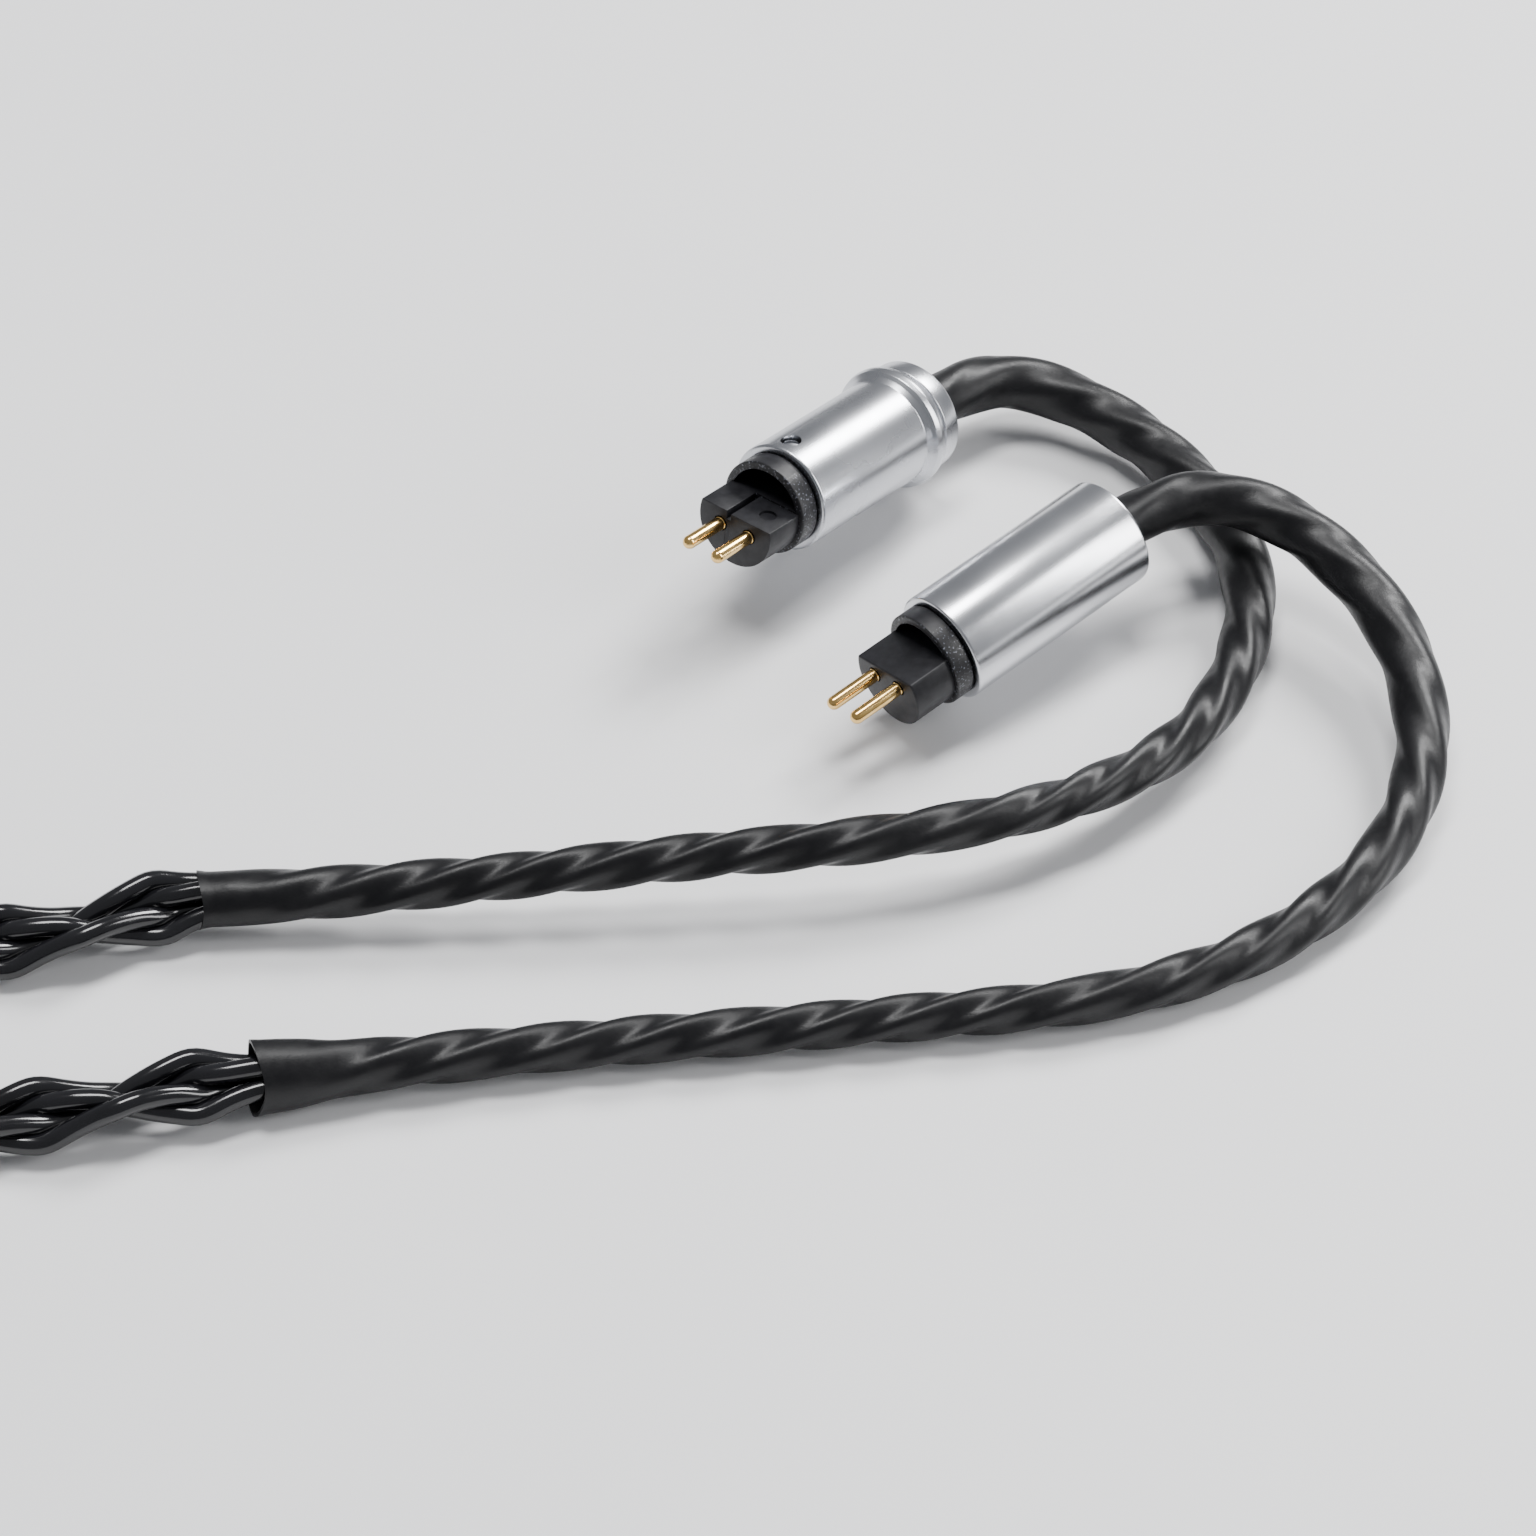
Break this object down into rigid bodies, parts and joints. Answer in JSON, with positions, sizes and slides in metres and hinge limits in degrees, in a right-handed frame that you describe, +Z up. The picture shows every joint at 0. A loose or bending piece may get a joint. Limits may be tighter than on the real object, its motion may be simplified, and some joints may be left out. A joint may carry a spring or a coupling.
{
  "type": "in-ear monitor cable",
  "caption": "Detachable in-ear monitor cable: two-pin ear connectors, shaped ear hooks, braided leads, chin slider, splitter and a stereo plug.",
  "frame": {"origin": "middle of the footprint of the two ear connectors and ear hooks, on the surface that the cable lies on", "axes": "+X to the right, from the coiled main lead towards the ear hooks; +Y away from the viewer; +Z up"},
  "size_m": [0.2289, 0.0669, 0.013],
  "materials": {
    "satin_aluminium": "satin machined, bright bevelled rims",
    "screw_steel": "machined steel",
    "gold_contact": "polished gold plating",
    "black_plastic": "fine-grained black",
    "shrink_sleeve": "black heat-shrink, semi-gloss with fine grain",
    "cable_jacket": "glossy black wire insulation",
    "soft_rubber": "matte black",
    "potting": "cast resin",
    "strap_fabric": "woven hook-and-loop strap"
  },
  "bodies": {
    "root": {"left_set_screw": "screw_steel", "left_barrel": "satin_aluminium", "left_insulator": "black_plastic", "left_pin_1": "gold_contact", "left_pin_2": "gold_contact", "left_potting": "potting", "left_cable_bush": "soft_rubber", "right_barrel": "satin_aluminium", "right_insulator": "black_plastic", "right_pin_1": "gold_contact", "right_pin_2": "gold_contact", "right_potting": "potting", "right_cable_bush": "soft_rubber", "left_hook_sleeve": "shrink_sleeve", "left_hook_wires": "cable_jacket", "right_hook_sleeve": "shrink_sleeve", "right_hook_wires": "cable_jacket", "left_lead": "cable_jacket", "right_lead": "cable_jacket", "lead_tie": "strap_fabric", "splitter_front_cap": "satin_aluminium", "splitter_barrel": "satin_aluminium", "splitter_potting": "potting", "splitter_rear_cap": "satin_aluminium", "splitter_bush": "soft_rubber", "main_lead_start": "cable_jacket", "main_coil": "cable_jacket", "main_lead_end": "cable_jacket", "coil_tie": "strap_fabric", "plug_strain_relief": "soft_rubber", "plug_barrel": "satin_aluminium", "plug_potting": "potting", "plug_sleeve": "gold_contact", "plug_ring_insulator": "black_plastic", "plug_ring": "gold_contact", "plug_tip_insulator": "black_plastic", "plug_tip": "gold_contact"},
    "slider": {"chin_slider": "satin_aluminium", "slider_liner": "soft_rubber"}
  },
  "joints": [
    {"name": "chin_slider_slide", "type": "slide", "parent": "root", "child": "slider", "axis": [1, 0, 0], "range_m": [0, 0.012]}
  ]
}
